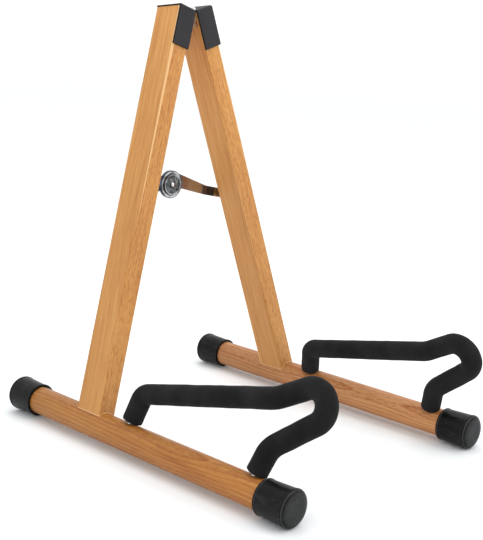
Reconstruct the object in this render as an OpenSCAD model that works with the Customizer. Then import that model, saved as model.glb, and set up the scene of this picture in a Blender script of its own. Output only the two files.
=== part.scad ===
// Folding wooden A-frame guitar stand: two flat side frames of beech, hinged at the top and held
// apart by a folding steel stay, each with a foam-covered wire yoke that carries the instrument.
//
// +X is to the right, -Y is the front (the side of the yokes), +Z is up. The origin is on the floor,
// midway between the two rails and midway from the yokes' front to the rails' rear ends. All lengths
// are in millimetres.
//
// Each side frame is drawn flat in its own plane, where x points out of the plane (away from the other
// frame), y runs along the rail (back is positive) and z runs up the frame from the rail's axis.

/* [Rails] */
// Diameter of the round floor rails
rail_d = 30; // [28:0.5:32]
// Length of the round floor rails
rail_len = 406; // [380:1:440]
// Distance of the post's foot behind the middle of the rail
post_back = 76.5; // [70:0.5:82]

/* [End caps] */
// Length of a rubber end cap
cap_len = 38; // [34:0.5:42]
// Outer diameter of the cap's body at its mouth
cap_mouth_d = 35; // [34:0.1:36]
// Outer diameter of the cap at its closed end
cap_end_d = 38; // [37:0.1:40]
// Thickness of the cap's closed end
cap_end_t = 4; // [3:0.5:5]
// Length of the rounded part of the closed end
cap_dome = 5; // [4:0.5:7]
// Width of the raised lip at the cap's mouth
cap_lip_w = 2.2; // [1.5:0.1:3]

/* [Posts] */
// Width of a post from front to back
post_w = 36; // [34:0.5:40]
// Thickness of a post
post_t = 22; // [20:0.5:24]
// Length of a post's centre line from the rail's axis to its top
post_len = 454.7; // [440:0.1:470]
// Radius of the eased long edges of a post
post_edge_r = 1.6; // [1:0.1:3]
// Angle of a side frame from the vertical
splay = 17.3; // [16:0.1:18]
// Angle by which a post leans back in its frame
lean = 4.9; // [4:0.1:6]
// Height above the rail's axis at which the lips of the post's saddle end
saddle_lip = 10.8; // [10.6:0.1:12]

/* [Yokes] */
// Diameter of the steel rod inside the foam
rod_d = 8; // [7:0.5:9]
// Outer diameter of the foam sleeve
foam_d = 21; // [19:0.5:22]
// Distance of the rear leg's hole in front of the post's foot
yoke_y = 51.6; // [48:0.1:56]
// Forward lean of the rear leg from the frame's upright
leg_lean = 12.4; // [8:0.1:16]
// Height above the rail's axis of the middle of the foam's cut ends
foam_end_z = 17.8; // [17.6:0.1:20]
// Depth of the rod's ends below the rail's axis
rod_depth = 3; // [0:0.5:6]

/* [Rest pads] */
// Thickness of the pad material
pad_t = 2.4; // [2:0.1:3]
// Distance the pad hangs down the front of the post
pad_drop = 42; // [36:0.5:48]
// Distance the pad stands out past each side of the post
pad_over = 0.8; // [0.5:0.1:0.8]

/* [Hinge] */
// Height of the hinge's axis along the frame, above the rail's axis
hinge_up = 458; // [457:0.1:459]
// Length of the hinge's barrel
hinge_len = 32; // [28:0.5:33]
// Outer radius of the hinge's knuckles
knuckle_r = 2.5; // [2.4:0.1:3]
// Radius of the hinge's pin
hinge_pin_r = 1.2; // [1:0.1:1.4]
// Distance of the hinge's axis from the inner face of a post
hinge_gap = 1.1; // [1:0.1:1.4]
// Thickness of a hinge leaf
leaf_t = 1.2; // [1:0.1:1.3]
// Depth by which a leaf is let into its post
leaf_sink = 0.5; // [0.5:0.1:0.8]
// Distance from the hinge's axis to the leaf's lower edge
leaf_drop = 20; // [18:0.5:22]

/* [Folding stay] */
// Height of the stay's pivots along the frame, above the rail's axis
pivot_up = 234.2; // [225:0.1:245]
// Length of a link between its pivot and the knee
link_len = 79.5; // [79:0.1:82]
// Thickness of the link strip
link_t = 1.6; // [1.5:0.1:2.5]
// Radius of the round head of a link at the knee
link_head_r = 15.9; // [15.6:0.1:17]
// Half width of a link at its pivot end
link_end_r = 5.4; // [5:0.1:6]
// Radius of the pressed disc on the front of the knee
knee_disc_r = 12; // [10:0.1:14]
// Radius of the knee's rivet and of the pivot screws' shoulders
stay_pin_r = 2.5; // [2:0.1:3]

/* [Hidden] */
$fn = 72;
running = 0.05;      // radial clearance of a turning fit
seat = 0.02;         // radial clearance of a fixed fit
free = 0.3;          // gap between parts that pass each other
rail_z = cap_end_d / 2;

// The yoke's centre line from the rear hole to the front hole: [straight, bend radius, turn].
// A positive turn is anticlockwise, seen from the right with the front of the stand on the left.
yoke_bends = [[42, 11, 64], [159.9, 48, -15.2], [30.5, 17, 170.8], [47.5, 28, -35.7]];
bend_count = len(yoke_bends);
bend_lap = 0.3;
bend_swell = 0.02;

// Where the post's foot stands, with the origin midway between the yokes' front and the rear caps.
foot_y = (hook_reach() - rail_len / 2 - cap_end_t + post_back) / 2;
hinge_out = post_t / 2 + hinge_gap;
stance = 2 * (hinge_up * sin(splay) + hinge_out * cos(splay));
hinge_z = rail_z + hinge_up * cos(splay) - hinge_out * sin(splay);
hinge_y = foot_y + hinge_up * tan(lean);
pivot_x = stance / 2 - pivot_up * sin(splay);
pivot_z = rail_z + pivot_up * cos(splay);
stay_rise = acos(pivot_x / link_len);            // angle of a link above the horizontal
knee_z = pivot_z + link_len * sin(stay_rise);

// Front faces of the layers of the stay, measured back from the post's foot.
tab_y = foot_y + 42;                              // pivot end of both links
disc_t = 2;
washer_t = 0.5;
disc_y = foot_y + 47.2;
left_link_y = disc_y + disc_t;
washer_y = left_link_y + link_t;
right_link_y = washer_y + washer_t + free;
rivet_head_y = right_link_y + link_t + free;
rivet_head_t = 1.2;
rivet_head_r = 4;
washer_r = 11;
joggle = [58, 62.5];                              // ends of the link's step, from the knee
strip_top = [15.5, link_end_r];                   // upper edge at the knee and at the step
strip_low = [-1.6, -link_end_r];                  // lower edge at the knee and at the step

spacer_r = 4.6;
insert_r = 4;
insert_depth = 12;
// Front end of the threaded insert, which ends at the back face of the post.
insert_y = foot_y + pivot_up * tan(lean) + post_w / 2 / cos(lean) - insert_depth;
screw_r = 1.95;

knuckles = 5;
knuckle_pitch = hinge_len / knuckles;
leaf_screw_y = [-9, 9];
leaf_screw_drop = 14;
leaf_screw_r = 1.4;
leaf_head_r = 2.8;
leaf_screw_len = 13;
leaf_x = -post_t / 2 + leaf_sink;                 // side of a leaf against the wood, in its frame
leaf_y = hinge_y - foot_y - hinge_len / 2;        // front end of a leaf, in its frame
pad_notch_r = knuckle_r + 0.8;
pad_notch_gap = 1.5;

foot_screw_r = 2.5;
foot_head_r = 4.8;
foot_head_t = 2.4;
foot_screw_top = 62;
foot_recess = 3;
dowel_r = 4;
dowel_y = [-11, 11];
dowel_span = [4, 34];

// Places a flat side frame: side is 1 for the right frame and -1 for the left one.
module in_frame(side) {
    mirror([side < 0 ? 1 : 0, 0, 0])
        translate([stance / 2, foot_y, rail_z]) rotate([0, -splay, 0]) children();
}

// Places what is drawn square to a post, z along it from the rail's axis.
module in_post(side) {
    in_frame(side) rotate([-lean, 0, 0]) children();
}

// A cylinder along +Y from y0, in the current frame.
module along_y(r, h, y0 = 0) {
    translate([0, y0, 0]) rotate([-90, 0, 0]) cylinder(h = h, r = r);
}

// ---- wood ----

// Square with its corners rounded to circles.
module rounded_rect(size_x, size_y, r) {
    square([size_x - 2 * r, size_y], center = true);
    square([size_x, size_y - 2 * r], center = true);
    for (x = [-1, 1], y = [-1, 1]) translate([x * (size_x / 2 - r), y * (size_y / 2 - r)]) circle(r);
}

module post_blank() {
    linear_extrude(post_len) rounded_rect(post_t, post_w, post_edge_r);
}

// Points the children along one leg of the yoke, z up the leg from the rail's axis.
module at_leg(end) {
    p = yoke_start(end * bend_count);
    heading = end == 0 ? p[1] : p[1] + 180;
    foot = end == 0 ? p[0] : p[0] + foot_length() * [cos(p[1]), sin(p[1])];
    translate([0, foot[0], foot[1]]) rotate([heading - 90, 0, 0]) children();
}

module rail(side) {
    color("peru") in_frame(side) difference() {
        along_y(rail_d / 2, rail_len, -post_back - rail_len / 2);
        for (end = [0, 1]) at_leg(end)
            translate([0, 0, -rod_depth / cos(leg_lean)]) cylinder(h = rail_d, r = rod_d / 2 + seat);
        translate([0, 0, -rail_d]) cylinder(h = 2 * rail_d, r = foot_screw_r + seat);
        translate([0, 0, -rail_d / 2 - 1]) cylinder(h = 1 + foot_recess, r = foot_head_r + free);
        rotate([-lean, 0, 0]) for (y = dowel_y) translate([0, y, dowel_span[0]])
            cylinder(h = rail_d, r = dowel_r + seat);
    }
}

module post(side) {
    color("sandybrown") difference() {
        in_post(side) post_blank();
        in_frame(side) {
            along_y(rail_d / 2, rail_len, -rail_len / 2);
            translate([-post_w, -post_w, -post_w]) cube([2 * post_w, 2 * post_w, post_w + saddle_lip]);
            cylinder(h = foot_screw_top + 1, r = foot_screw_r + seat);
        }
        in_post(side) for (y = dowel_y) translate([0, y, 0])
            cylinder(h = dowel_span[1] + 0.5, r = dowel_r + seat);
        at_pivot(side) along_y(insert_r + seat, 2 * insert_depth, insert_y - 0.5);
        leaf_room(side, seat);
        hinge_screw_places(side) translate([0, 0, -leaf_screw_len - 1])
            cylinder(h = leaf_screw_len + 2, r = leaf_screw_r + seat);
    }
}

// ---- rubber caps ----

// Outline of the cap's outside: radius against distance from the mouth.
module cap_profile() {
    shoulder = cap_len - cap_dome;
    mouth_r = cap_mouth_d / 2;
    end_r = cap_end_d / 2;
    polygon(concat(
        [[0, 0], [mouth_r + 0.2, 0], [mouth_r + 0.5, 0.5], [mouth_r + 0.5, cap_lip_w - 0.5],
         [mouth_r, cap_lip_w], [end_r - 0.5, shoulder - 1.6], [end_r, shoulder - 0.8], [end_r, shoulder]],
        [for (a = [10:10:90]) [end_r * (0.5 + 0.5 * cos(a)), shoulder + cap_dome * sin(a)]],
        [[0, cap_len]]));
}

// end is 1 at the rear of the rail and -1 at the front.
module cap(side, end) {
    color("dimgray") in_frame(side) translate([0, end * (rail_len / 2 + cap_end_t - cap_len) - post_back, 0])
        rotate([-90 * end, 0, 0]) difference() {
            rotate_extrude() cap_profile();
            translate([0, 0, -1]) cylinder(h = cap_len - cap_end_t + 1, r = rail_d / 2 + seat);
        }
}

// ---- yoke ----

// Start point and heading of straight number i of the yoke, in the frame's y and z.
function yoke_start(i) = i == 0 ? [[-yoke_y, 0], 90 + leg_lean] : let (
    s = yoke_start(i - 1), b = yoke_bends[i - 1],
    a = s[0] + b[0] * [cos(s[1]), sin(s[1])]) [bend_end(a, s[1], b[1], b[2]), s[1] + b[2]];
function bend_centre(p, h, r, turn) = p + sign(turn) * r * [-sin(h), cos(h)];
function bend_end(p, h, r, turn) =
    bend_centre(p, h, r, turn) - sign(turn) * r * [-sin(h + turn), cos(h + turn)];
// Distance from the post's foot to the front of the foam at the hook.
function hook_reach() = let (
    i = 2, s = yoke_start(i), b = yoke_bends[i], a = s[0] + b[0] * [cos(s[1]), sin(s[1])],
    c = bend_centre(a, s[1], b[1], b[2])) b[1] + foam_d / 2 - c[0];
// Length of the front leg from the last bend down to the rail's axis.
function foot_length() = let (s = yoke_start(bend_count)) -s[0][1] / sin(s[1]);

// The yoke's shape at radius r, with both ends cut square where the centre line is at height z0.
// The straights run a little way into the bends, which are a hair thicker, so that they join cleanly.
module yoke_tube(r, z0) {
    rotate([90, 0, 90]) for (i = [0:bend_count]) {
        s = yoke_start(i);
        first = i == 0 ? z0 / sin(s[1]) : -bend_lap;
        last = i == bend_count ? foot_length() + z0 / sin(s[1]) : yoke_bends[i][0] + bend_lap;
        translate(s[0]) rotate([0, 0, s[1]]) translate([first, 0, 0]) rotate([0, 90, 0])
            cylinder(h = last - first, r = r);
        if (i < bend_count) {
            b = yoke_bends[i];
            a = s[0] + b[0] * [cos(s[1]), sin(s[1])];
            translate(bend_centre(a, s[1], b[1], b[2])) rotate([0, 0, s[1] + (b[2] > 0 ? -90 : 90 + b[2])])
                rotate_extrude(angle = abs(b[2])) translate([b[1], 0]) circle(r + bend_swell);
        }
    }
}

module yoke_rod(side) {
    color("silver") in_frame(side) yoke_tube(rod_d / 2, -rod_depth);
}

module yoke_foam(side) {
    color("darkslategray") in_frame(side) difference() {
        yoke_tube(foam_d / 2, foam_end_z);
        yoke_tube(rod_d / 2 + seat, foam_end_z - 1);
    }
}

// ---- rest pads ----

// The pad seen from the side: down the front of the post, round its edge and over its top.
module pad_side() {
    translate([-post_w / 2 - pad_t, post_len - pad_drop]) square([pad_t, pad_drop]);
    translate([-post_w / 2, post_len]) square([post_w, pad_t]);
    intersection() {
        translate([-post_w / 2, post_len]) circle(pad_t);
        translate([-post_w / 2 - pad_t, post_len]) square(pad_t);
    }
}

// The pad's inner edge is cut away round the hinge.
module rest_pad(side) {
    width = post_t + 2 * pad_over;
    color("slategray") difference() {
        in_post(side) translate([-width / 2, 0, 0]) rotate([90, 0, 90]) linear_extrude(width) pad_side();
        barrel(pad_notch_r, -hinge_len / 2 - pad_notch_gap, hinge_len + 2 * pad_notch_gap);
        leaf_room(side, free);
    }
}

// ---- joint between post and rail ----

// Cross recess for a screw head whose face is at z = 0, cut into -z.
module cross_recess(r, depth) {
    for (a = [0, 90]) rotate([0, 0, a]) translate([-r, -r / 5, -depth]) cube([2 * r, 2 * r / 5, depth + 1]);
}

module foot_screw(side) {
    head_z = -rail_d / 2 + foot_recess - foot_head_t;
    color("silver") in_frame(side) difference() {
        union() {
            translate([0, 0, head_z]) cylinder(h = foot_head_t, r = foot_head_r);
            translate([0, 0, head_z + foot_head_t]) cylinder(h = foot_screw_top - head_z - foot_head_t,
                r = foot_screw_r);
        }
        translate([0, 0, head_z]) rotate([180, 0, 0]) cross_recess(foot_head_r * 0.6, 1.4);
    }
}

module foot_dowels(side) {
    color("burlywood") in_post(side) for (y = dowel_y) translate([0, y, dowel_span[0]])
        cylinder(h = dowel_span[1] - dowel_span[0], r = dowel_r);
}

// ---- hinge ----

// Places the children at the screws of one leaf: z points out of the leaf, towards the other frame.
module hinge_screw_places(side) {
    in_frame(side) for (y = leaf_screw_y)
        translate([leaf_x - leaf_t, hinge_y - foot_y + y, hinge_up - leaf_screw_drop])
            rotate([0, -90, 0]) children();
}

// The room that a leaf takes out of the wood and the pad, with a gap round it.
module leaf_room(side, gap) {
    in_frame(side) translate([leaf_x - leaf_t - 2, leaf_y - gap, hinge_up - leaf_drop - gap])
        cube([leaf_t + 2, hinge_len + 2 * gap, leaf_drop + 2 * gap]);
}

module barrel(r, y0, length) {
    translate([0, 0, hinge_z]) along_y(r, length, hinge_y + y0);
}

// The left leaf has the odd knuckles, the right leaf the even ones.
module hinge_leaf(side) {
    first = side < 0 ? 0 : 1;
    color("gainsboro") difference() {
        union() {
            in_frame(side) translate([leaf_x - leaf_t, leaf_y, hinge_up - leaf_drop])
                cube([leaf_t, hinge_len, leaf_drop]);
            for (k = [first:2:knuckles - 1])
                barrel(knuckle_r, -hinge_len / 2 + k * knuckle_pitch, knuckle_pitch - free);
        }
        for (k = [1 - first:2:knuckles - 1])
            barrel(knuckle_r + free, -hinge_len / 2 + k * knuckle_pitch - free, knuckle_pitch + free);
        barrel(hinge_pin_r + running, -hinge_len / 2 - 1, hinge_len + 2);
        hinge_screw_places(side) {
            translate([0, 0, -leaf_t - 1]) cylinder(h = leaf_t + 2, r = leaf_screw_r + seat);
            translate([0, 0, -leaf_t])
                cylinder(h = leaf_t, r1 = leaf_screw_r + seat, r2 = leaf_head_r + seat);
        }
    }
}

module hinge_screws(side) {
    color("silver") hinge_screw_places(side) difference() {
        union() {
            translate([0, 0, -leaf_t]) cylinder(h = leaf_t, r1 = leaf_screw_r, r2 = leaf_head_r);
            translate([0, 0, -leaf_screw_len]) cylinder(h = leaf_screw_len - leaf_t, r = leaf_screw_r);
        }
        cross_recess(leaf_head_r * 0.6, 0.7);
    }
}

module hinge_pin() {
    color("silver") {
        barrel(hinge_pin_r, -hinge_len / 2 - 0.8, hinge_len + 1.2);
        barrel(hinge_pin_r + 0.7, -hinge_len / 2 - 0.8, 0.6);
    }
}

// ---- folding stay ----

// Moves to a pivot of the stay; y is still measured from the origin.
module at_pivot(side) {
    translate([side * pivot_x, 0, pivot_z]) children();
}

// A link seen from the front: x from the knee to the pivot, z up, from y0 back to y1.
module link_outline(y0, y1) {
    along_y(link_head_r, y1 - y0, y0);
    translate([0, y1, 0]) rotate([90, 0, 0]) linear_extrude(y1 - y0)
        polygon([[0, strip_top[0]], [joggle[0], strip_top[1]], [link_len, link_end_r - 0.1],
            [link_len, 0.1 - link_end_r], [joggle[0], strip_low[1]], [0, strip_low[0]]]);
    translate([link_len, 0, 0]) along_y(link_end_r, y1 - y0, y0);
}

// Edge of a link: x from the knee, y back from the origin.
module link_edge(y0) {
    polygon([[-link_head_r - 1, y0], [joggle[0], y0], [joggle[1], tab_y], [link_len + link_end_r + 1, tab_y],
        [link_len + link_end_r + 1, tab_y + link_t], [joggle[1] + 0.6, tab_y + link_t],
        [joggle[0] + 0.6, y0 + link_t], [-link_head_r - 1, y0 + link_t]]);
}

// A link from the knee towards +X, before it is turned down to its pivot.
module link_blank(y0) {
    depth = 2 * link_head_r + 2;
    difference() {
        intersection() {
            link_outline(tab_y - 1, y0 + link_t + 1);
            translate([0, 0, -depth / 2]) linear_extrude(depth) link_edge(y0);
        }
        along_y(stay_pin_r + running, 2 * link_t, y0 - 1);
        translate([link_len, 0, 0]) along_y(stay_pin_r + running, 2 * link_t, tab_y - 1);
    }
}

module brace_link(side) {
    color("lightsteelblue") mirror([side < 0 ? 1 : 0, 0, 0]) translate([0, 0, knee_z])
        rotate([0, stay_rise, 0]) link_blank(side < 0 ? left_link_y : right_link_y);
}

module at_knee() {
    translate([0, 0, knee_z]) children();
}

// The pressed disc: a raised rim, a dished face and four round punch marks.
module knee_disc() {
    rim = 1.2;
    dish = 0.5;
    mark_r = 1.3;
    mark_place = 0.64 * knee_disc_r;
    color("silver") at_knee() difference() {
        along_y(knee_disc_r, disc_t, disc_y);
        along_y(knee_disc_r - rim, dish + 1, disc_y - 1);
        along_y(stay_pin_r + seat, disc_t + 2, disc_y - 1);
        for (a = [45:90:315]) rotate([0, a, 0]) translate([mark_place, 0, 0])
            along_y(mark_r, 2 * dish, disc_y);
    }
}

module knee_washer() {
    color("gainsboro") at_knee() difference() {
        along_y(washer_r, washer_t, washer_y);
        along_y(stay_pin_r + seat, washer_t + 2, washer_y - 1);
    }
}

module knee_rivet() {
    dome_r = 7;
    dome_t = 1.5;
    dome_seat = 0.5;
    color("silver") at_knee() {
        along_y(stay_pin_r, rivet_head_y - disc_y, disc_y);
        along_y(rivet_head_r, rivet_head_t, rivet_head_y);
        translate([0, disc_y + dome_seat, 0]) rotate([90, 0, 0]) rotate_extrude() intersection() {
            translate([0, dome_t - dome_r]) circle(dome_r);
            square([stay_pin_r + 1, dome_t + dome_seat]);
        }
    }
}

module pivot_insert(side) {
    color("goldenrod") at_pivot(side) difference() {
        intersection() {
            along_y(insert_r, 2 * insert_depth, insert_y);
            translate([-side * pivot_x, 0, -pivot_z]) in_post(side) post_blank();
        }
        along_y(screw_r + seat, 2 * insert_depth, insert_y - 1);
    }
}

module pivot_spacer(side) {
    color("gainsboro") difference() {
        at_pivot(side) along_y(spacer_r, tab_y - free - insert_y, insert_y);
        in_post(side) post_blank();
        at_pivot(side) along_y(screw_r + seat, 3 * insert_depth, insert_y - 1);
    }
}

// Domed screw head with a cross recess, its flat side at y0.
module pivot_head(y0) {
    head_r = 5.2;
    head_t = 2.2;
    dome_r = 8;
    translate([0, y0, 0]) rotate([-90, 0, 0]) difference() {
        rotate_extrude() intersection() {
            translate([0, head_t - dome_r]) circle(dome_r);
            square([head_r, head_t + 1]);
        }
        translate([0, 0, head_t]) cross_recess(head_r / 2, 1.2);
    }
}

// The left screw holds its link to the post. The right one is the open pivot of the linkage: it stays
// with its link and stops at the link's front face.
module pivot_screw(side) {
    head_y = tab_y + link_t + free;
    color("silver") at_pivot(side) {
        pivot_head(head_y);
        along_y(stay_pin_r, head_y - tab_y + (side < 0 ? free : 0), side < 0 ? tab_y - free : tab_y);
        if (side < 0) along_y(screw_r, tab_y - free - insert_y - 1, insert_y + 1);
    }
}

rail(-1);  // left_rail
rail(1);  // right_rail
post(-1);  // left_post
post(1);  // right_post
cap(-1, -1);  // left_front_cap
cap(-1, 1);  // left_rear_cap
cap(1, -1);  // right_front_cap
cap(1, 1);  // right_rear_cap
yoke_rod(-1);  // left_yoke_rod
yoke_rod(1);  // right_yoke_rod
yoke_foam(-1);  // left_yoke_foam
yoke_foam(1);  // right_yoke_foam
rest_pad(-1);  // left_rest_pad
rest_pad(1);  // right_rest_pad
foot_screw(-1);  // left_foot_screw
foot_screw(1);  // right_foot_screw
foot_dowels(-1);  // left_foot_dowels
foot_dowels(1);  // right_foot_dowels
hinge_leaf(-1);  // left_hinge_leaf
hinge_leaf(1);  // right_hinge_leaf
hinge_screws(-1);  // left_hinge_screws
hinge_screws(1);  // right_hinge_screws
hinge_pin();
brace_link(-1);  // left_brace_link
brace_link(1);  // right_brace_link
knee_disc();
knee_washer();
knee_rivet();
pivot_insert(-1);  // left_pivot_insert
pivot_insert(1);  // right_pivot_insert
pivot_spacer(-1);  // left_pivot_spacer
pivot_spacer(1);  // right_pivot_spacer
pivot_screw(-1);  // left_pivot_screw
pivot_screw(1);  // right_pivot_screw
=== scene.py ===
import math

import bpy
import numpy as np
from mathutils import Matrix, Vector, noise


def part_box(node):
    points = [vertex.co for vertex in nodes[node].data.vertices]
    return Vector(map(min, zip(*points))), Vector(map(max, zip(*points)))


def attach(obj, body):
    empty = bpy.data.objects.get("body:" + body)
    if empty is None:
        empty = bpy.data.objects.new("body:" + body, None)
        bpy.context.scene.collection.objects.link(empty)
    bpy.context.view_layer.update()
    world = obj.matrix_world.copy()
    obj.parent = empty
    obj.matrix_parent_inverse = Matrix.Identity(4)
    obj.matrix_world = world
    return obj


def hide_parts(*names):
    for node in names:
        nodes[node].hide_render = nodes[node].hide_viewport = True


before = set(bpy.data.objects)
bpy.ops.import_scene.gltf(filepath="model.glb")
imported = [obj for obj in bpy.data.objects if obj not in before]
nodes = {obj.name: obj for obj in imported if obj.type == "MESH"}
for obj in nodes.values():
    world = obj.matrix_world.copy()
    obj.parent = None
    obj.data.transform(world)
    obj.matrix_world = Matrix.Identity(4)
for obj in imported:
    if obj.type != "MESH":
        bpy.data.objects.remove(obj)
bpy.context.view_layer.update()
SIDES = ("left", "right")
MM = 0.001


# ---- camera ----

CAMERA_PLACE = (-0.8405, -0.7608, 0.4289)
CAMERA_AZIMUTH, CAMERA_ELEVATION, CAMERA_ROLL = -47.18, 12.32, 2.78
CAMERA_LENS, CAMERA_SENSOR = 71.95, 36


def add_camera():
    azimuth, elevation, roll = map(math.radians, (CAMERA_AZIMUTH, CAMERA_ELEVATION, CAMERA_ROLL))
    back = Vector((
        math.sin(azimuth) * math.cos(elevation),
        -math.cos(azimuth) * math.cos(elevation),
        math.sin(elevation),
    ))
    right = (-back).cross(Vector((0, 0, 1))).normalized()
    up = right.cross(-back)
    c, s = math.cos(roll), math.sin(roll)
    x_axis, y_axis = c * right + s * up, c * up - s * right
    data = bpy.data.cameras.new("camera")
    data.sensor_fit = "AUTO"
    data.sensor_width = CAMERA_SENSOR
    data.lens = CAMERA_LENS
    data.clip_start, data.clip_end = 0.05, 50
    camera = bpy.data.objects.new("camera", data)
    turn = Matrix((x_axis, y_axis, back)).transposed()
    camera.matrix_world = Matrix.Translation(CAMERA_PLACE) @ turn.to_4x4()
    bpy.context.scene.collection.objects.link(camera)
    bpy.context.scene.camera = camera


add_camera()
bpy.context.scene.view_settings.view_transform = "Standard"


# ---- node helpers ----

def new_material(name):
    material = bpy.data.materials.new(name)
    material.use_nodes = True
    tree = material.node_tree
    tree.nodes.clear()
    out = tree.nodes.new("ShaderNodeOutputMaterial")
    shader = tree.nodes.new("ShaderNodeBsdfPrincipled")
    tree.links.new(shader.outputs["BSDF"], out.inputs["Surface"])
    return material, tree, shader


def link(tree, source, target):
    tree.links.new(source, target)


def object_coords(tree, turn=(0, 0, 0), move=(0, 0, 0)):
    """Object coordinates in metres, turned and then moved."""
    coords = tree.nodes.new("ShaderNodeTexCoord")
    turned = tree.nodes.new("ShaderNodeMapping")
    turned.inputs["Rotation"].default_value = turn
    turned.inputs["Location"].default_value = move
    link(tree, coords.outputs["Object"], turned.inputs["Vector"])
    return turned.outputs["Vector"]


def scaled(tree, vector, scale, move=(0, 0, 0)):
    node = tree.nodes.new("ShaderNodeMapping")
    node.inputs["Scale"].default_value = scale
    node.inputs["Location"].default_value = move
    link(tree, vector, node.inputs["Vector"])
    return node.outputs["Vector"]


def length_of(tree, vector):
    node = tree.nodes.new("ShaderNodeVectorMath")
    node.operation = "LENGTH"
    link(tree, vector, node.inputs[0])
    return node.outputs["Value"]


def parts_of(tree, vector):
    node = tree.nodes.new("ShaderNodeSeparateXYZ")
    link(tree, vector, node.inputs["Vector"])
    return node.outputs


def noise_tex(tree, vector, scale, detail=3.0, rough=0.5):
    node = tree.nodes.new("ShaderNodeTexNoise")
    node.inputs["Scale"].default_value = scale
    node.inputs["Detail"].default_value = detail
    node.inputs["Roughness"].default_value = rough
    link(tree, vector, node.inputs["Vector"])
    return node.outputs["Fac"]


def ramp(tree, fac, *stops):
    """Each stop is a place from 0 to 1 and a grey tone or a linear colour."""
    node = tree.nodes.new("ShaderNodeValToRGB")
    elements = node.color_ramp.elements
    while len(elements) < len(stops):
        elements.new(0.5)
    for element, (place, value) in zip(elements, stops):
        element.position = place
        is_grey = isinstance(value, (int, float))
        element.color = (value, value, value, 1) if is_grey else (*value, 1)
    link(tree, fac, node.inputs["Fac"])
    return node.outputs["Color"]


def mix(tree, kind, fac, a, b):
    node = tree.nodes.new("ShaderNodeMix")
    node.data_type = "RGBA"
    node.blend_type = kind
    for socket, value in (("Factor", fac), ("A", a), ("B", b)):
        target = [i for i in node.inputs if i.name == socket and i.enabled][0]
        if hasattr(value, "is_linked"):
            link(tree, value, target)
        elif isinstance(value, (int, float)):
            target.default_value = value
        else:
            target.default_value = (*value, 1)
    return [o for o in node.outputs if o.enabled][0]


def math_node(tree, operation, a, b=None, clamp=False):
    node = tree.nodes.new("ShaderNodeMath")
    node.operation = operation
    node.use_clamp = clamp
    for i, value in enumerate((a, b)):
        if value is None:
            continue
        if hasattr(value, "is_linked"):
            link(tree, value, node.inputs[i])
        else:
            node.inputs[i].default_value = value
    return node.outputs["Value"]


def times(tree, a, b):
    return math_node(tree, "MULTIPLY", a, b)


def bump(tree, shader, height, strength, distance):
    node = tree.nodes.new("ShaderNodeBump")
    node.inputs["Strength"].default_value = strength
    node.inputs["Distance"].default_value = distance
    link(tree, height, node.inputs["Height"])
    link(tree, node.outputs["Normal"], shader.inputs["Normal"])


def srgb(r, g, b):
    """An 0 to 255 display colour as linear numbers."""
    shares = (c / 255 for c in (r, g, b))
    return tuple(((c + 0.055) / 1.055) ** 2.4 if c > 10 / 255 else c / 12.92 for c in shares)


# ---- wood ----

POST_LIGHT, POST_DARK = srgb(216, 160, 89), srgb(200, 142, 73)
# a pale tone painted as a highlight along the posts' long edges and round their feet
EDGE_HIGHLIGHT_TONE = srgb(232, 190, 136)
# the left rail's tones are darker and yellower than the right's: painted shade on one of two rails
# of the same beech
RAILS = {
    "left": (srgb(204, 148, 73), srgb(180, 122, 55)),
    "right": (srgb(218, 166, 112), srgb(200, 146, 93)),
}
RING_TINT, STREAK_TINT = (0.70, 0.50, 0.36), (0.74, 0.57, 0.42)
FIBRE_TINT, FLECK_TINT = (0.66, 0.50, 0.38), (0.62, 0.44, 0.30)
POST_HALF = (11 * MM, 18 * MM)
EDGE_WIDTH, EDGE_FADE = 0.85 * MM, 0.4 * MM
FOOT_LINE = (15.7 * MM, 16.3 * MM)
FOOT_REACH = 20 * MM
WANDER = (0.022, 0.022, 0)


def long_axis(node):
    """The direction in which a piece is longest, pointing up or to the rear."""
    co = np.array([v.co for v in nodes[node].data.vertices])
    along = np.linalg.svd(co - co.mean(0), full_matrices=False)[2][0]
    return Vector(along) * (1 if along[1] + along[2] > 0 else -1)


def post_normal(side):
    """The direction out of the plane of a side frame."""
    return Vector((0, 1, 0)).cross(long_axis(f"{side}_post"))


def grain_turn(node, side):
    """The turn that brings a piece's length to z and its side frame's normal to x.

    Also the middle of the piece after that turn.
    """
    z_axis = long_axis(node)
    across = post_normal(side)
    x_axis = (across - z_axis * z_axis.dot(across)).normalized()
    turn = Matrix((x_axis, z_axis.cross(x_axis), z_axis))
    co = np.array([turn @ v.co for v in nodes[node].data.vertices])
    return turn.to_euler("XYZ"), Vector((co.max(0) + co.min(0)) / 2)


def grain_length(node):
    """The length of a piece along its grain, in metres."""
    axis = long_axis(node)
    along = [axis.dot(v.co) for v in nodes[node].data.vertices]
    return max(along) - min(along)


def growth_rings(tree, local, seed, heart, ring_gap):
    """Circles in x and y about the heart, which wanders along the length."""
    wander = tree.nodes.new("ShaderNodeTexNoise")
    wander.inputs["Scale"].default_value = 1
    wander.inputs["Detail"].default_value = 2
    start = (seed, 2 * seed, 3 * seed)
    link(tree, scaled(tree, local, (9, 9, 4.5), start), wander.inputs["Vector"])
    off = tree.nodes.new("ShaderNodeVectorMath")
    off.operation = "MULTIPLY_ADD"
    link(tree, wander.outputs["Color"], off.inputs[0])
    off.inputs[1].default_value = WANDER
    link(tree, local, off.inputs[2])
    flat = scaled(tree, off.outputs["Vector"], (1, 1, 0), (*heart, 0))
    phase = times(tree, length_of(tree, flat), 1 / ring_gap)
    ring = math_node(tree, "FRACT", phase)
    return ramp(tree, ring, (0.0, 0.25), (0.55, 0.5), (0.9, 1.0), (1.0, 0.25))


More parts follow.
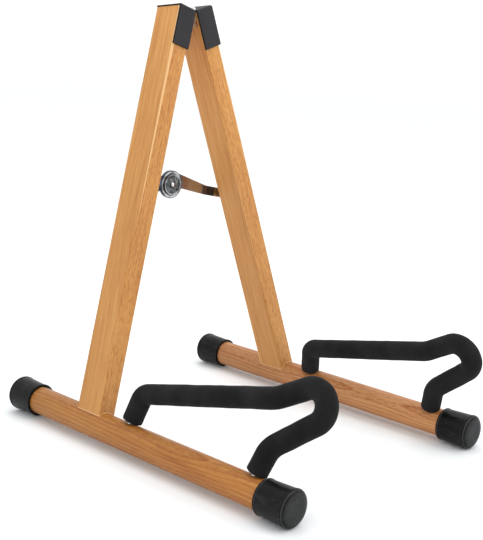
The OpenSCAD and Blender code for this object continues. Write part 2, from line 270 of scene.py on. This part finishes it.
def ray_flecks(tree, local, turn, seed):
    """Short dark flecks on the front and back faces, and hardly any on the broad ones."""
    cells = tree.nodes.new("ShaderNodeTexVoronoi")
    cells.feature = "F1"
    cells.inputs["Scale"].default_value = 1
    cells.inputs["Randomness"].default_value = 1
    link(tree, scaled(tree, local, (1000, 700, 120), (seed, seed, seed)), cells.inputs["Vector"])
    fleck = ramp(tree, cells.outputs["Distance"], (0.0, 1.0), (0.3, 0.7), (0.45, 0.0))
    coords = tree.nodes.new("ShaderNodeTexCoord")
    turned = tree.nodes.new("ShaderNodeMapping")
    turned.vector_type = "NORMAL"
    turned.inputs["Rotation"].default_value = turn
    link(tree, coords.outputs["Normal"], turned.inputs["Vector"])
    facing = math_node(tree, "ABSOLUTE", parts_of(tree, turned.outputs["Vector"])["Y"])
    narrow = ramp(tree, facing, (0.2, 0.12), (0.8, 1.0))
    return times(tree, fleck, narrow)


def edge_mask(tree, local, half_x, half_y):
    """1 along a post's long edges, where a highlight is painted, and 0 on its faces."""
    parts = parts_of(tree, local)
    masks = []
    for axis, half in (("X", half_x), ("Y", half_y)):
        reach = math_node(tree, "ABSOLUTE", parts[axis])
        past = math_node(tree, "SUBTRACT", reach, half - EDGE_WIDTH)
        masks.append(math_node(tree, "MULTIPLY", past, 1 / EDGE_FADE, clamp=True))
    return times(tree, *masks)


def foot_mask(tree, side):
    """1 in a thin line round a post's foot, where its cut edge meets the rail and a highlight is
    painted, and 0 elsewhere.
    """
    centre = sum(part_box(f"{side}_rail"), Vector()) / 2
    flat = scaled(tree, object_coords(tree), (1, 0, 1), (-centre[0], 0, -centre[2]))
    share = times(tree, length_of(tree, flat), 1 / FOOT_REACH)
    inner, outer = (radius / FOOT_REACH for radius in FOOT_LINE)
    return ramp(tree, share, (0.0, 1.0), (inner, 1.0), (outer, 0.0))


def wood(name, node, side, light, dark, seed, heart, ring_gap, figure, roughness,
         edges=None, ends=(1, 1)):
    """Beech: growth rings round an off-centre heart, long streaks, fine fibres and ray flecks.

    edges are the half thickness and half width of a piece with a highlight painted along its
    edges. ends are the tones at the lower or front end and at the upper or rear end, a painted
    shade along the piece.
    """
    material, tree, shader = new_material(name)
    turn, centre = grain_turn(node, side)
    local = object_coords(tree, turn, tuple(-centre))
    ring = growth_rings(tree, local, seed, heart, ring_gap)
    patches = noise_tex(tree, scaled(tree, local, (30, 30, 5), (seed, 0, 0)), 1, 3, 0.55)
    streaks = noise_tex(tree, scaled(tree, local, (420, 420, 14), (0, seed, 0)), 1, 3, 0.6)
    fibres = noise_tex(tree, scaled(tree, local, (1500, 1500, 60), (0, 0, seed)), 1, 2, 0.6)
    fleck = ray_flecks(tree, local, turn, seed)

    colour = mix(tree, "MIX", ramp(tree, patches, (0.3, 0.0), (0.72, 1.0)), light, dark)
    for share, tint in (
        (times(tree, ring, figure), RING_TINT),
        (ramp(tree, streaks, (0.42, 0.0), (0.72, 0.7)), STREAK_TINT),
        (ramp(tree, fibres, (0.45, 0.0), (0.8, 0.35)), FIBRE_TINT),
        (times(tree, fleck, 0.9), FLECK_TINT),
    ):
        colour = mix(tree, "MULTIPLY", share, colour, tint)
    # painted shade: darker towards the lower end of a post and the rear end of a rail, as set by
    # ends
    whole = scaled(tree, local, (1, 1, 1 / grain_length(node)), (0, 0, 0.5))
    low_tone, high_tone = ends
    tone = ramp(tree, parts_of(tree, whole)["Z"], (0.0, low_tone), (1.0, high_tone))
    colour = mix(tree, "MULTIPLY", 1.0, colour, tone)
    # painted highlights: a pale line along the long edges and round the foot
    if edges:
        colour = mix(tree, "MIX", times(tree, edge_mask(tree, local, *edges), 0.75), colour, EDGE_HIGHLIGHT_TONE)
        colour = mix(tree, "MIX", times(tree, foot_mask(tree, side), 0.7), colour, EDGE_HIGHLIGHT_TONE)
    link(tree, colour, shader.inputs["Base Color"])

    rough = ramp(tree, streaks, (0.3, roughness - 0.05), (0.8, roughness + 0.1))
    link(tree, rough, shader.inputs["Roughness"])
    shader.inputs["Coat Weight"].default_value = 0.08
    shader.inputs["Coat Roughness"].default_value = 0.25
    shader.inputs["Specular IOR Level"].default_value = 0.3
    height = math_node(tree, "ADD", times(tree, fibres, 0.6), times(tree, fleck, -0.5))
    bump(tree, shader, height, 0.35, 0.08 * MM)
    return material


def paint(node, material):
    """Gives a carried-over CAD node its material."""
    obj = nodes[node]
    obj.data.materials.clear()
    obj.data.materials.append(material)
    obj.data.polygons.foreach_set("material_index", [0] * len(obj.data.polygons))


for i, side in enumerate(SIDES):
    post = wood(
        f"{side}_post_beech", f"{side}_post", side, POST_LIGHT, POST_DARK, seed=3.1 + 4 * i,
        heart=(0.05, 0.012), ring_gap=3.6 * MM, figure=0.32, roughness=0.42,
        edges=POST_HALF, ends=(0.86, 1.0))
    paint(f"{side}_post", post)
    rail = wood(
        f"{side}_rail_beech", f"{side}_rail", side, *RAILS[side], seed=7.7 + 5 * i,
        heart=(0.006, 0.018), ring_gap=4 * MM, figure=0.95, roughness=0.45, ends=(1.02, 0.72))
    paint(f"{side}_rail", rail)
    dowel = wood(
        f"{side}_dowel_beech", f"{side}_foot_dowels", side, POST_LIGHT, POST_DARK, seed=1.3,
        heart=(0.01, 0), ring_gap=3 * MM, figure=0.2, roughness=0.6)
    paint(f"{side}_foot_dowels", dowel)


# ---- rubber, foam and leatherette ----

PORE_TINT = (0.35, 0.35, 0.36)
DUST = (0.10, 0.10, 0.105)


def soft_material(name, colour, lighter, roughness, grain, depth, specular=0.3, sheen=0.0,
                  dust=0.0):
    """Dark moulded or foamed material with a fine grain of the given size, and some pale dust."""
    material, tree, shader = new_material(name)
    local = object_coords(tree)
    fine = noise_tex(tree, local, 1 / grain, 2, 0.6)
    broad = noise_tex(tree, local, 35, 3, 0.5)
    mottled = mix(tree, "MIX", ramp(tree, broad, (0.35, 0.0), (0.7, 1.0)), colour, lighter)
    pores = ramp(tree, fine, (0.35, 0.55), (0.65, 0.0))
    mottled = mix(tree, "MULTIPLY", pores, mottled, PORE_TINT)
    if dust:
        specks = ramp(tree, noise_tex(tree, local, 700, 2, 0.6), (0.66, 0.0), (0.72, 1.0))
        drawn_out = scaled(tree, local, (1, 0.35, 1))
        scuffs = ramp(tree, noise_tex(tree, drawn_out, 160, 3, 0.6), (0.52, 0.0), (0.66, 1.0))
        pale = math_node(tree, "ADD", specks, times(tree, scuffs, 0.35), clamp=True)
        mottled = mix(tree, "MIX", times(tree, pale, dust), mottled, DUST)
    link(tree, mottled, shader.inputs["Base Color"])
    rough = ramp(tree, fine, (0.3, roughness + 0.08), (0.7, roughness - 0.05))
    link(tree, rough, shader.inputs["Roughness"])
    shader.inputs["Specular IOR Level"].default_value = specular
    shader.inputs["Sheen Weight"].default_value = sheen
    shader.inputs["Sheen Roughness"].default_value = 0.5
    bump(tree, shader, fine, 0.6, depth)
    return material


FOAM = soft_material(
    "foam", (0.0085, 0.0085, 0.009), (0.0185, 0.0185, 0.019), roughness=0.92,
    grain=0.8 * MM, depth=0.2 * MM, specular=0.15, sheen=0.02)
RUBBER = soft_material(
    "rubber", (0.003, 0.003, 0.0035), (0.008, 0.008, 0.0085), roughness=0.33,
    grain=1.2 * MM, depth=0.06 * MM, specular=0.13, dust=0.3)
RUBBER_END = soft_material(
    "rubber_end", (0.006, 0.006, 0.0065), (0.017, 0.017, 0.0175), roughness=0.5,
    grain=0.9 * MM, depth=0.1 * MM, specular=0.25, dust=0.25)
# a paler copy of the rubber, painted as a highlight on the cap's rounding
RUBBER_RIM_HIGHLIGHT = soft_material(
    "rubber_rim_highlight", (0.022, 0.022, 0.0225), (0.032, 0.032, 0.0325), roughness=0.4,
    grain=1.2 * MM, depth=0.06 * MM)
LEATHERETTE = soft_material(
    "leatherette", (0.018, 0.0175, 0.0195), (0.025, 0.0245, 0.027), roughness=0.6,
    grain=0.7 * MM, depth=0.1 * MM, specular=0.25, sheen=0.03)
PAD_EDGE = soft_material(
    "pad_edge", (0.010, 0.010, 0.011), (0.014, 0.014, 0.015), roughness=0.85,
    grain=0.6 * MM, depth=0.1 * MM, specular=0.2)


# ---- metal ----

# STAIN_TINT darkens real stains; the second tint darkens blotches painted in as dark reflections
STAIN_TINT, DARK_REFLECTION_TINT = (0.72, 0.70, 0.68), (0.30, 0.27, 0.25)
LINE_FINE, LINE_COARSE = 2600, 60
STEEL = (0.50, 0.50, 0.51)
# tones of painted reflections on the stay's links
SLATE, TAN = (0.15, 0.19, 0.24), (0.72, 0.46, 0.32)
DARK, UMBER = (0.12, 0.12, 0.125), (0.3, 0.22, 0.17)
# painted reflections and highlights: tones of the stay's metal by distance from the knee's axis,
# which imitate what it reflects
LINK_REFLECTION_RINGS = {
    "left": (
        (0, 0.3), (13.0 * MM, 0.3), (13.9 * MM, 1.3), (14.8 * MM, 1.1), (15.3 * MM, SLATE),
        (27 * MM, SLATE), (38 * MM, 1.0)),
    "right": (
        (0, 0.3), (15.0 * MM, 0.2), (18 * MM, UMBER), (25 * MM, TAN), (33 * MM, 1.0),
        (53.5 * MM, 1.0), (54.5 * MM, TAN), (57.8 * MM, TAN), (58.8 * MM, DARK),
        (63.0 * MM, DARK), (64.2 * MM, 1.0)),
}
# painted reflections and highlights on the knee disc: bright and dark rings by distance from its
# axis
DISC_REFLECTION_RINGS = (
    (0, 1.8), (2.3 * MM, 1.8), (2.8 * MM, 0.06), (4 * MM, 0.35), (8.5 * MM, 0.36),
    (10.2 * MM, 0.14), (10.9 * MM, 0.9), (12 * MM, 0.5))
# how much of each link is darkened in blotches painted as dark reflections
LINK_PATCHY = {"left": 0.85, "right": 0}


def metal(name, colour, roughness, brushed=0.0, axis=(1, 0, 0), centre=None, rings=(),
          patchy=0.0):
    """Plated steel with fine lines along an axis.

    rings are (distance from centre in metres, tone) about an axis along y, painted reflections and
    highlights.
    patchy is the share of dark blotches painted in as reflections.
    """
    material, tree, shader = new_material(name)
    local = object_coords(tree)
    wide = noise_tex(tree, local, 60, 3, 0.6)
    across = tuple(LINE_COARSE if a else LINE_FINE for a in axis)
    lines = noise_tex(tree, scaled(tree, local, across), 1, 2, 0.6)
    stains = ramp(tree, wide, (0.3, 0.0), (0.8, 0.35))
    tint = mix(tree, "MULTIPLY", stains, colour, STAIN_TINT)
    if rings:
        flat = scaled(tree, local, (1, 0, 1), (-centre[0], 0, -centre[2]))
        reach = rings[-1][0]
        share = times(tree, length_of(tree, flat), 1 / reach)
        tones = ramp(tree, share, *[(radius / reach, tone) for radius, tone in rings])
        tint = mix(tree, "MULTIPLY", 1.0, tint, tones)
    # dark blotches painted in as reflections
    if patchy:
        moved = scaled(tree, local, (1, 1, 1), (3.3, 0, 0))
        dark_reflection_blotches = ramp(tree, noise_tex(tree, moved, 130, 2, 0.5), (0.46, 0.0), (0.56, 1.0))
        tint = mix(tree, "MULTIPLY", times(tree, dark_reflection_blotches, patchy), tint, DARK_REFLECTION_TINT)
    link(tree, tint, shader.inputs["Base Color"])
    shader.inputs["Metallic"].default_value = 1
    rough = ramp(tree, lines, (0.3, roughness), (0.7, roughness + 0.12))
    link(tree, rough, shader.inputs["Roughness"])
    bump(tree, shader, lines, 0.25 + brushed, 0.01 * MM)
    return material


knee = sum(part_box("knee_disc"), Vector()) / 2
STAY = metal("stay_steel", STEEL, 0.14, 0.1)
LINKS = {
    side: metal(
        f"{side}_link_steel", STEEL, 0.14, 0.1, centre=knee, rings=LINK_REFLECTION_RINGS[side],
        patchy=LINK_PATCHY[side])
    for side in SIDES
}
CHROME = metal("chrome", (0.55, 0.56, 0.58), 0.08, centre=knee, rings=DISC_REFLECTION_RINGS, patchy=0.85)
NICKEL = metal("nickel", (0.86, 0.85, 0.83), 0.16, 0.1, axis=(0, 1, 0))
LEAF = metal("hinge_leaf_steel", (0.50, 0.40, 0.31), 0.2, 0.1, axis=(0, 1, 0))
ZINC = metal("zinc", (0.60, 0.59, 0.57), 0.28)
ROD = metal("rod_steel", (0.50, 0.50, 0.50), 0.25, 0.1, axis=(0, 1, 0))
BRASS = metal("brass", (0.66, 0.47, 0.20), 0.3)


# ---- which node has which material ----

BARREL_HEIGHT = 6 * MM
END_FACING = 0.93
RIM_HIGHLIGHT_FACING = (0.6, 0.75)


def paint_leaf(side):
    """The barrel keeps its nickel, and the leaf below it is duller."""
    leaf = nodes[f"{side}_hinge_leaf"]
    paint(f"{side}_hinge_leaf", NICKEL)
    leaf.data.materials.append(LEAF)
    barrel_low = max(v.co.z for v in leaf.data.vertices) - BARREL_HEIGHT
    for face in leaf.data.polygons:
        face.material_index = 1 if face.center.z < barrel_low else 0


def paint_cap(side, end):
    """A cap's end face is duller than its side, and the rounding between them is paler, a painted
    highlight.
    """
    cap = nodes[f"{side}_{end}_cap"]
    paint(f"{side}_{end}_cap", RUBBER)
    cap.data.materials.append(RUBBER_END)
    cap.data.materials.append(RUBBER_RIM_HIGHLIGHT)
    outward = long_axis(f"{side}_rail") * (1 if end == "rear" else -1)
    rim_low, rim_high = RIM_HIGHLIGHT_FACING
    for face in cap.data.polygons:
        facing = face.normal.dot(outward)
        face.material_index = 1 if facing > END_FACING else 2 if rim_low < facing < rim_high else 0


for side in SIDES:
    paint(f"{side}_yoke_rod", ROD)
    paint_leaf(side)
    paint(f"{side}_hinge_screws", ZINC)
    paint(f"{side}_foot_screw", ZINC)
    paint(f"{side}_brace_link", LINKS[side])
    paint(f"{side}_pivot_insert", BRASS)
    paint(f"{side}_pivot_spacer", STAY)
    paint(f"{side}_pivot_screw", ZINC)
    for end in ("front", "rear"):
        paint_cap(side, end)
paint("hinge_pin", NICKEL)
paint("knee_disc", CHROME)
paint("knee_rivet", CHROME)
paint("knee_washer", STAY)


# ---- soft pieces, made from their CAD solids ----

FOAM_VOXEL, PAD_VOXEL = 0.9 * MM, 0.45 * MM
SMOOTH_ROUNDS = 3
FOAM_WAVE, FOAM_WAVE_SIZE, FOAM_SWELL = 0.25 * MM, 14 * MM, 0.35 * MM
PAD_CORNER = 3 * MM
CUT_FACING = 0.75


def remeshed(node, name, voxel):
    """A copy of a CAD solid with an even fine mesh and softened edges."""
    mesh = nodes[node].data.copy()
    mesh.materials.clear()
    piece = bpy.data.objects.new(name, mesh)
    bpy.context.scene.collection.objects.link(piece)
    modifier = piece.modifiers.new("remesh", "REMESH")
    modifier.mode = "VOXEL"
    modifier.voxel_size = voxel
    modifier.use_smooth_shade = True
    smooth = piece.modifiers.new("smooth", "SMOOTH")
    smooth.factor = 0.5
    smooth.iterations = SMOOTH_ROUNDS
    graph = bpy.context.evaluated_depsgraph_get()
    made = bpy.data.meshes.new_from_object(piece.evaluated_get(graph), depsgraph=graph)
    piece.modifiers.clear()
    piece.data = made
    made.name = name
    return piece


def waver(piece, height, size, seed, swell):
    """Moves the vertices along their normals by smooth noise, and all of them out by swell."""
    count = len(piece.data.vertices)
    co, normals = np.zeros(count * 3), np.zeros(count * 3)
    piece.data.vertices.foreach_get("co", co)
    piece.data.vertices.foreach_get("normal", normals)
    co, normals = co.reshape(-1, 3), normals.reshape(-1, 3)
    shift = Vector((seed, 0, 0))
    amount = np.array([noise.noise(Vector(p / size) + shift) for p in co])
    moved = co + normals * (height * amount + swell)[:, None]
    piece.data.vertices.foreach_set("co", moved.ravel())
    piece.data.update()


def round_corners(pad, side, radius):
    """Rounds the two upper corners of a rest pad, as seen from the front of its post."""
    along = long_axis(f"{side}_post")
    normal = post_normal(side).normalized()
    co = np.array([v.co for v in pad.data.vertices])
    across, up = co @ np.array(normal), co @ np.array(along)
    middle = (across.max() + across.min()) / 2
    reach = np.abs(across - middle) - ((across.max() - across.min()) / 2 - radius)
    rise = up - (up.max() - radius)
    far = np.hypot(reach, rise)
    outside = (reach > 0) & (rise > 0) & (far > radius)
    pull = np.where(outside, 1 - radius / np.maximum(far, radius), 0)
    sideways = np.outer(pull * reach * np.sign(across - middle), normal)
    pad.data.vertices.foreach_set("co", (co - sideways - np.outer(pull * rise, along)).ravel())
    pad.data.update()


def add_foam(side, seed):
    foam = remeshed(f"{side}_yoke_foam", f"{side}_foam_sleeve", FOAM_VOXEL)
    waver(foam, FOAM_WAVE, FOAM_WAVE_SIZE, seed, FOAM_SWELL)
    foam.data.materials.append(FOAM)
    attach(foam, f"{side}_frame")
    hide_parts(f"{side}_yoke_foam")


def add_pad(side):
    pad = remeshed(f"{side}_rest_pad", f"{side}_pad_cover", PAD_VOXEL)
    round_corners(pad, side, PAD_CORNER)
    pad.data.materials.append(LEATHERETTE)
    pad.data.materials.append(PAD_EDGE)
    normal = post_normal(side).normalized()
    along = long_axis(f"{side}_post")
    for face in pad.data.polygons:
        cut_side = abs(face.normal.dot(normal)) > CUT_FACING
        cut_end = face.normal.dot(along) < -CUT_FACING
        face.material_index = 1 if cut_side or cut_end else 0
    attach(pad, f"{side}_frame")
    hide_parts(f"{side}_rest_pad")


for i, side in enumerate(SIDES):
    add_foam(side, 10 * i)
    add_pad(side)


# ---- floor and light ----

FLOOR_HALF, FLOOR_DROP = 6, 0.2 * MM
FLOOR_TONES = (0.88, 0.905, 0.92), (0.90, 0.925, 0.94)
SKY_STRENGTH = 1.2


def add_floor():
    h = FLOOR_HALF
    mesh = bpy.data.meshes.new("floor")
    mesh.from_pydata([(-h, -h, 0), (h, -h, 0), (h, h, 0), (-h, h, 0)], [], [(0, 1, 2, 3)])
    floor = bpy.data.objects.new("floor", mesh)
    floor.location = (0, 0, -FLOOR_DROP)
    bpy.context.scene.collection.objects.link(floor)
    material, tree, shader = new_material("floor")
    tone = noise_tex(tree, object_coords(tree), 3, 2, 0.5)
    colour = ramp(tree, tone, (0.0, FLOOR_TONES[0]), (1.0, FLOOR_TONES[1]))
    link(tree, colour, shader.inputs["Base Color"])
    shader.inputs["Roughness"].default_value = 0.8
    mesh.materials.append(material)


def add_area(name, place, target, size, power):
    data = bpy.data.lights.new(name, "AREA")
    data.shape = "RECTANGLE"
    data.size, data.size_y = size
    data.energy = power
    light = bpy.data.objects.new(name, data)
    light.location = place
    toward = Vector(target) - Vector(place)
    light.rotation_euler = toward.to_track_quat("-Z", "Y").to_euler()
    bpy.context.scene.collection.objects.link(light)


def add_sky():
    world = bpy.data.worlds.new("studio")
    world.use_nodes = True
    tree = world.node_tree
    background = tree.nodes["Background"]
    background.inputs["Strength"].default_value = SKY_STRENGTH
    coords = tree.nodes.new("ShaderNodeTexCoord")
    height = parts_of(tree, coords.outputs["Generated"])["Z"]
    sky = ramp(tree, height, (0.0, 1.0), (0.12, 1.0), (0.4, 0.92), (1.0, 0.9))
    link(tree, sky, background.inputs["Color"])
    bpy.context.scene.world = world


add_floor()
add_sky()
add_area("key", place=(0.6, -1.9, 1.3), target=(0, 0, 0.2), size=(1.4, 1.0), power=9)
add_area("top", place=(0.35, 0.2, 2.0), target=(0, 0, 0), size=(1.8, 1.8), power=14)
